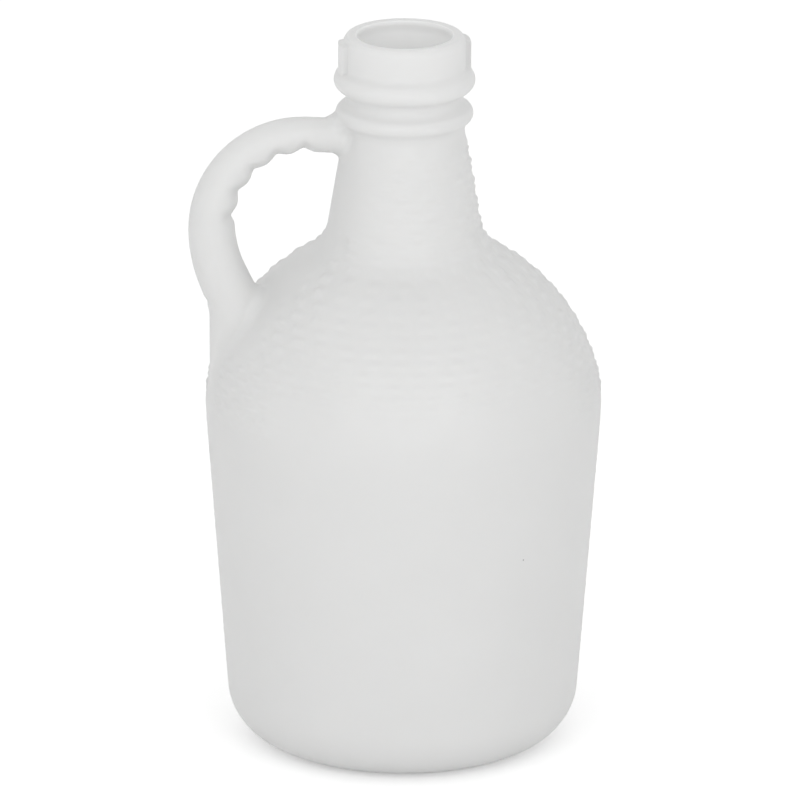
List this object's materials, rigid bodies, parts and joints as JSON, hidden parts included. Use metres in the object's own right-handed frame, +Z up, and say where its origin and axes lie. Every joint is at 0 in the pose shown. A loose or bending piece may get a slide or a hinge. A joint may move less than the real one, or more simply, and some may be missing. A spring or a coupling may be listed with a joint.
{
  "type": "plastic jug",
  "caption": "Round milky plastic jug with tapered sides, a domed wicker-textured shoulder, a narrow open neck and a hollow ring handle.",
  "frame": {"origin": "on the jug's axis, on the plane that the foot ring stands on", "axes": "+Z up along the jug's axis, the handle points along -X, +Y completes the right-handed frame"},
  "size_m": [0.1114, 0.1064, 0.1965],
  "materials": {
    "jug": "milky natural polyethylene, satin, slightly translucent"
  },
  "bodies": {
    "root": {"jug": "jug"}
  },
  "joints": []
}
